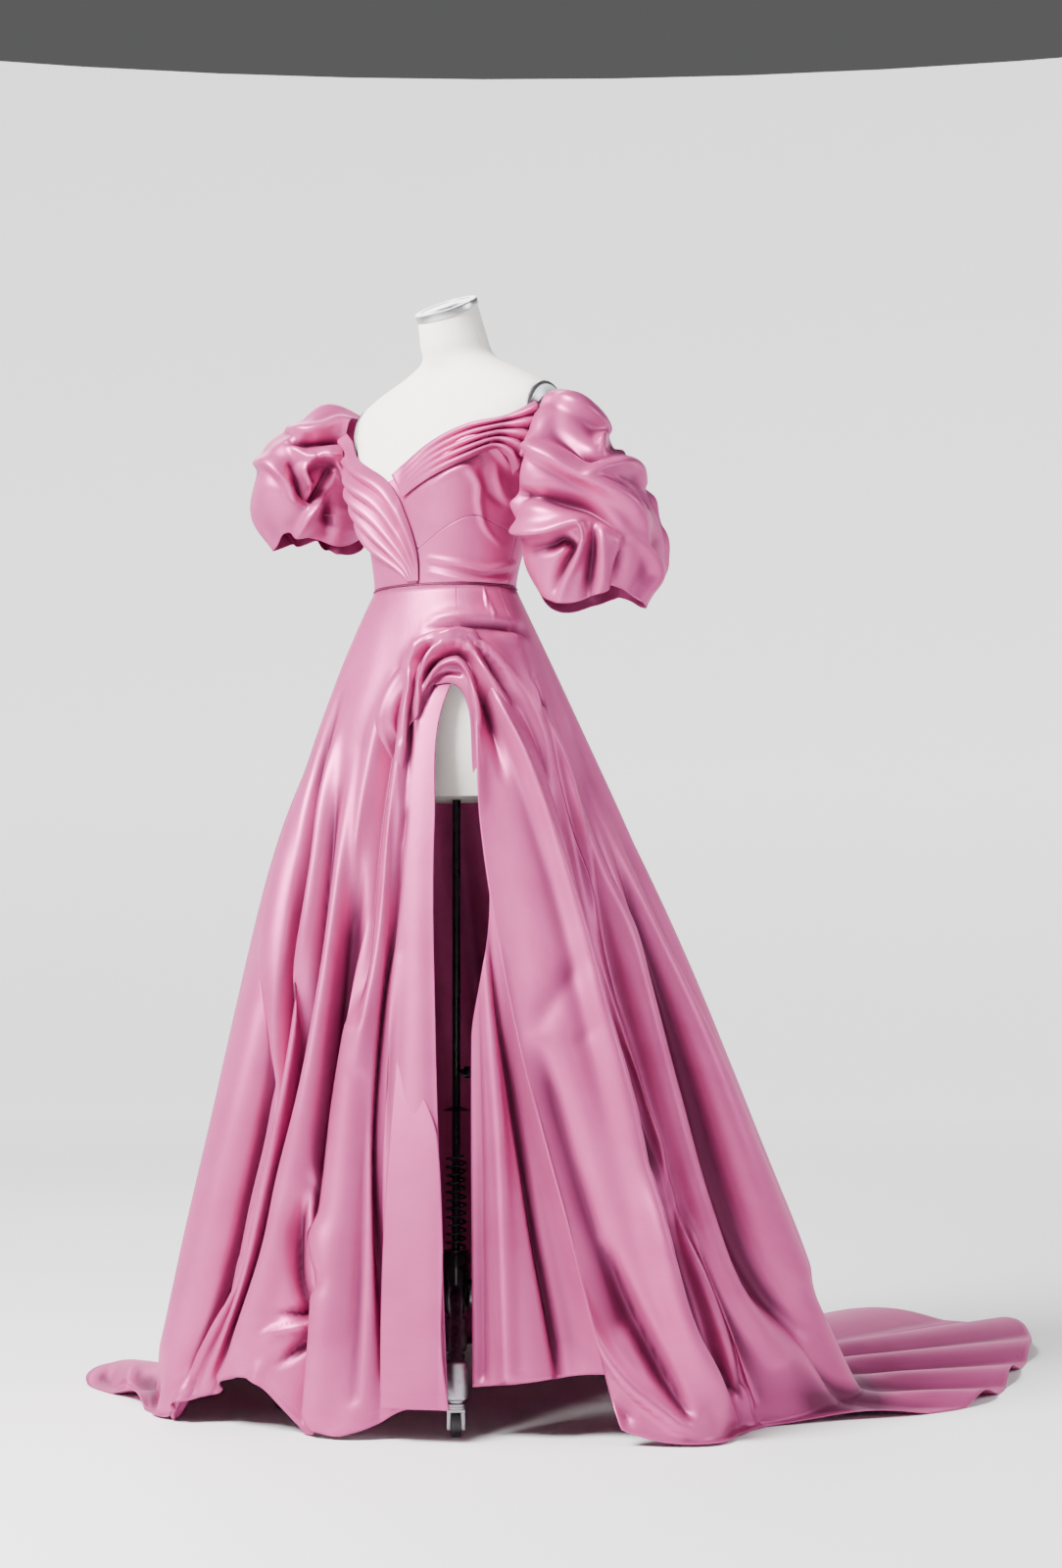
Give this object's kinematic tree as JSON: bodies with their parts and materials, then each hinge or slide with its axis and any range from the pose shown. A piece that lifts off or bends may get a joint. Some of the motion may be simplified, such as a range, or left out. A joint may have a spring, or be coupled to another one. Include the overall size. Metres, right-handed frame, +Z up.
{
  "type": "gown and dress form",
  "caption": "Off-the-shoulder a-line gown in draped satin with puffed sleeves, high front slit and train, on a limbless dress form with a castored stand",
  "frame": {"origin": "middle of the footprint, on the floor", "axes": "+Z up, the gown's front faces -Y, the wearer's left is +X, the train lies towards +Y"},
  "size_m": [1.3118, 1.8368, 1.7617],
  "materials": {
    "satin": "mauve-pink duchess satin, soft sheen",
    "linen": "off-white linen stretched over the form",
    "aluminium": "brushed",
    "black_enamel": "gloss black enamel",
    "cast_metal": "worn grey metal, smooth",
    "castor_tyre": "satin black"
  },
  "bodies": {
    "stand": {"form_torso": "linen", "neck_cap": "aluminium", "arm_plate_left": "aluminium", "arm_plate_right": "aluminium", "pole": "black_enamel", "lock_collar": "black_enamel", "height_knob": "black_enamel", "spring_seat": "black_enamel", "hub": "black_enamel", "spring": "black_enamel", "pedal": "black_enamel", "leg_1": "cast_metal", "leg_2": "cast_metal", "leg_3": "cast_metal", "leg_4": "cast_metal", "castor_stem_1": "cast_metal", "castor_stem_2": "cast_metal", "castor_stem_3": "cast_metal", "castor_stem_4": "cast_metal", "bodice_front_right": "satin", "bodice_midriff": "satin", "bodice_cup_left": "satin", "bodice_back_left": "satin", "bodice_back_right": "satin", "drape_right": "satin", "drape_left": "satin", "sleeve_left": "satin", "sleeve_right": "satin", "waist_piping": "satin", "skirt_front_left": "satin", "skirt_back_left": "satin", "skirt_back_right": "satin", "skirt_front_right": "satin", "slit_drape": "satin", "slit_facing_left": "satin", "slit_flap_right": "satin"},
    "castor_1": {"castor_fork_1": "cast_metal"},
    "wheel_1": {"castor_wheel_1": "castor_tyre"},
    "castor_2": {"castor_fork_2": "cast_metal"},
    "wheel_2": {"castor_wheel_2": "castor_tyre"},
    "castor_3": {"castor_fork_3": "cast_metal"},
    "wheel_3": {"castor_wheel_3": "castor_tyre"},
    "castor_4": {"castor_fork_4": "cast_metal"},
    "wheel_4": {"castor_wheel_4": "castor_tyre"}
  },
  "joints": [
    {"name": "castor_swivel_1", "type": "hinge", "parent": "stand", "child": "castor_1", "pos_m": [0.23616, -0.73972, 0.042], "axis": [0, 0, 1], "continuous": true},
    {"name": "wheel_spin_1", "type": "hinge", "parent": "castor_1", "child": "wheel_1", "pos_m": [0.23349, -0.73674, 0.01778], "axis": [0.7431, 0.6691, 0], "continuous": true},
    {"name": "castor_swivel_2", "type": "hinge", "parent": "stand", "child": "castor_2", "pos_m": [0.25615, -0.3584, 0.042], "axis": [0, 0, 1], "continuous": true},
    {"name": "wheel_spin_2", "type": "hinge", "parent": "castor_2", "child": "wheel_2", "pos_m": [0.25317, -0.36108, 0.01778], "axis": [-0.6691, 0.7431, 0], "continuous": true},
    {"name": "castor_swivel_3", "type": "hinge", "parent": "stand", "child": "castor_3", "pos_m": [-0.12517, -0.33842, 0.042], "axis": [0, 0, 1], "continuous": true},
    {"name": "wheel_spin_3", "type": "hinge", "parent": "castor_3", "child": "wheel_3", "pos_m": [-0.12249, -0.34139, 0.01778], "axis": [-0.7431, -0.6691, 0], "continuous": true},
    {"name": "castor_swivel_4", "type": "hinge", "parent": "stand", "child": "castor_4", "pos_m": [-0.14515, -0.71973, 0.042], "axis": [0, 0, 1], "continuous": true},
    {"name": "wheel_spin_4", "type": "hinge", "parent": "castor_4", "child": "wheel_4", "pos_m": [-0.14218, -0.71705, 0.01778], "axis": [0.6691, -0.7431, 0], "continuous": true}
  ]
}
